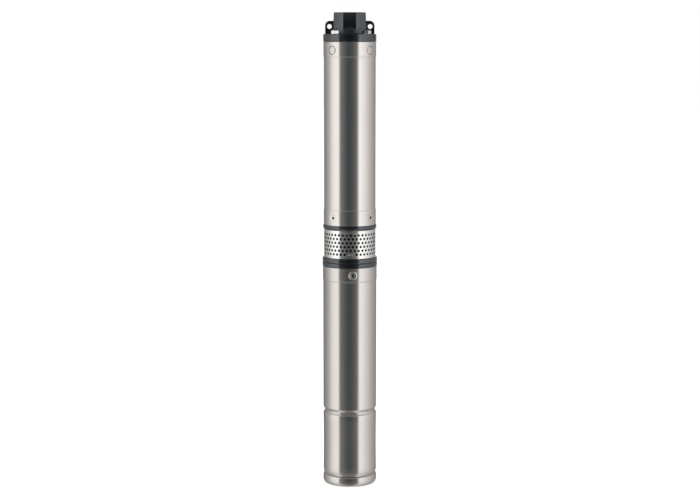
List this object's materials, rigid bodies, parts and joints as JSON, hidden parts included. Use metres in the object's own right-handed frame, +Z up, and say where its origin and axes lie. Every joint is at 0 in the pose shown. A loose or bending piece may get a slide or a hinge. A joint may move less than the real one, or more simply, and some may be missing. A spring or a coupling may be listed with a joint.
{
  "type": "borehole submersible pump",
  "caption": "Slender borehole pump with an octagonal outlet head, rope eyes, a steel sleeve over the stages, a perforated intake band and a sealed motor with rolled grooves.",
  "frame": {"origin": "centre of the flat foot, on the shaft axis, the pump standing upright", "axes": "+Z up along the shaft to the outlet, -Y to the side that the picture shows, rope ears along X"},
  "size_m": [0.098, 0.098, 0.85],
  "materials": {
    "satin_steel": "fine satin, drawn round the tube",
    "bright_steel": "bright",
    "black_casting": "black coating, satin",
    "black_rubber": "matt",
    "valve_brass": "machined",
    "filled_plastic": "moulded, glass filled",
    "laminations": "stacked sheet",
    "copper_winding": "varnished wire",
    "capacitor_can": "drawn can"
  },
  "bodies": {
    "casing": {"pump_sleeve": "satin_steel", "strainer": "satin_steel", "motor_shell": "satin_steel", "bottom_cap": "satin_steel", "cable_guard": "satin_steel", "sleeve_rivet_1": "satin_steel", "sleeve_rivet_2": "satin_steel", "sleeve_rivet_3": "satin_steel", "sleeve_rivet_4": "satin_steel", "head_bolt_1": "bright_steel", "head_bolt_2": "bright_steel", "head_bolt_3": "bright_steel", "head_bolt_4": "bright_steel", "motor_bolt_1": "bright_steel", "motor_bolt_2": "bright_steel", "motor_bolt_3": "bright_steel", "motor_bolt_4": "bright_steel", "sleeve_screw_1": "bright_steel", "sleeve_screw_2": "bright_steel", "sleeve_screw_3": "bright_steel", "sleeve_screw_4": "bright_steel", "filler_plug": "bright_steel", "filler_ring": "bright_steel", "valve_spring": "bright_steel", "upper_bearing_outer": "bright_steel", "lower_bearing_outer": "bright_steel", "discharge_head": "black_casting", "intake_bracket": "black_casting", "motor_top_bracket": "black_casting", "lower_bearing_bracket": "black_casting", "cable_inlet": "black_rubber", "top_bearing_bush": "black_rubber", "shaft_seal": "black_rubber", "diaphragm": "black_rubber", "valve_seat": "valve_brass", "top_bearing_carrier": "filled_plastic", "diffuser_1": "filled_plastic", "diffuser_2": "filled_plastic", "diffuser_3": "filled_plastic", "diffuser_4": "filled_plastic", "diffuser_5": "filled_plastic", "diffuser_6": "filled_plastic", "stator_core": "laminations", "stator_winding": "copper_winding", "capacitor": "capacitor_can"},
    "rotor": {"pump_shaft": "bright_steel", "coupling": "bright_steel", "motor_shaft": "bright_steel", "rotor_core": "laminations", "upper_bearing_inner": "bright_steel", "lower_bearing_inner": "bright_steel", "impeller_1": "filled_plastic", "impeller_2": "filled_plastic", "impeller_3": "filled_plastic", "impeller_4": "filled_plastic", "impeller_5": "filled_plastic", "impeller_6": "filled_plastic"},
    "upper_ball_set": {"upper_bearing_balls": "bright_steel"},
    "lower_ball_set": {"lower_bearing_balls": "bright_steel"},
    "valve": {"valve_poppet": "valve_brass"}
  },
  "joints": [
    {"name": "rotor_spin", "type": "hinge", "parent": "casing", "child": "rotor", "pos_m": [0, 0, 0.4246], "axis": [0, 0, 1], "continuous": true},
    {"name": "upper_balls_spin", "type": "hinge", "parent": "casing", "child": "upper_ball_set", "pos_m": [0, 0, 0.3586], "axis": [0, 0, 1], "continuous": true},
    {"name": "lower_balls_spin", "type": "hinge", "parent": "casing", "child": "lower_ball_set", "pos_m": [0, 0, 0.1613], "axis": [0, 0, 1], "continuous": true},
    {"name": "valve_lift", "type": "slide", "parent": "casing", "child": "valve", "axis": [0, 0, 1], "range_m": [0, 0.007], "stiffness_N_per_m": 150, "springref_m": -0.01, "deforming": ["valve_spring"]}
  ],
  "couplings": [
    {"joint": "upper_balls_spin", "follows": "rotor_spin", "ratio": 0.397},
    {"joint": "lower_balls_spin", "follows": "rotor_spin", "ratio": 0.384}
  ]
}
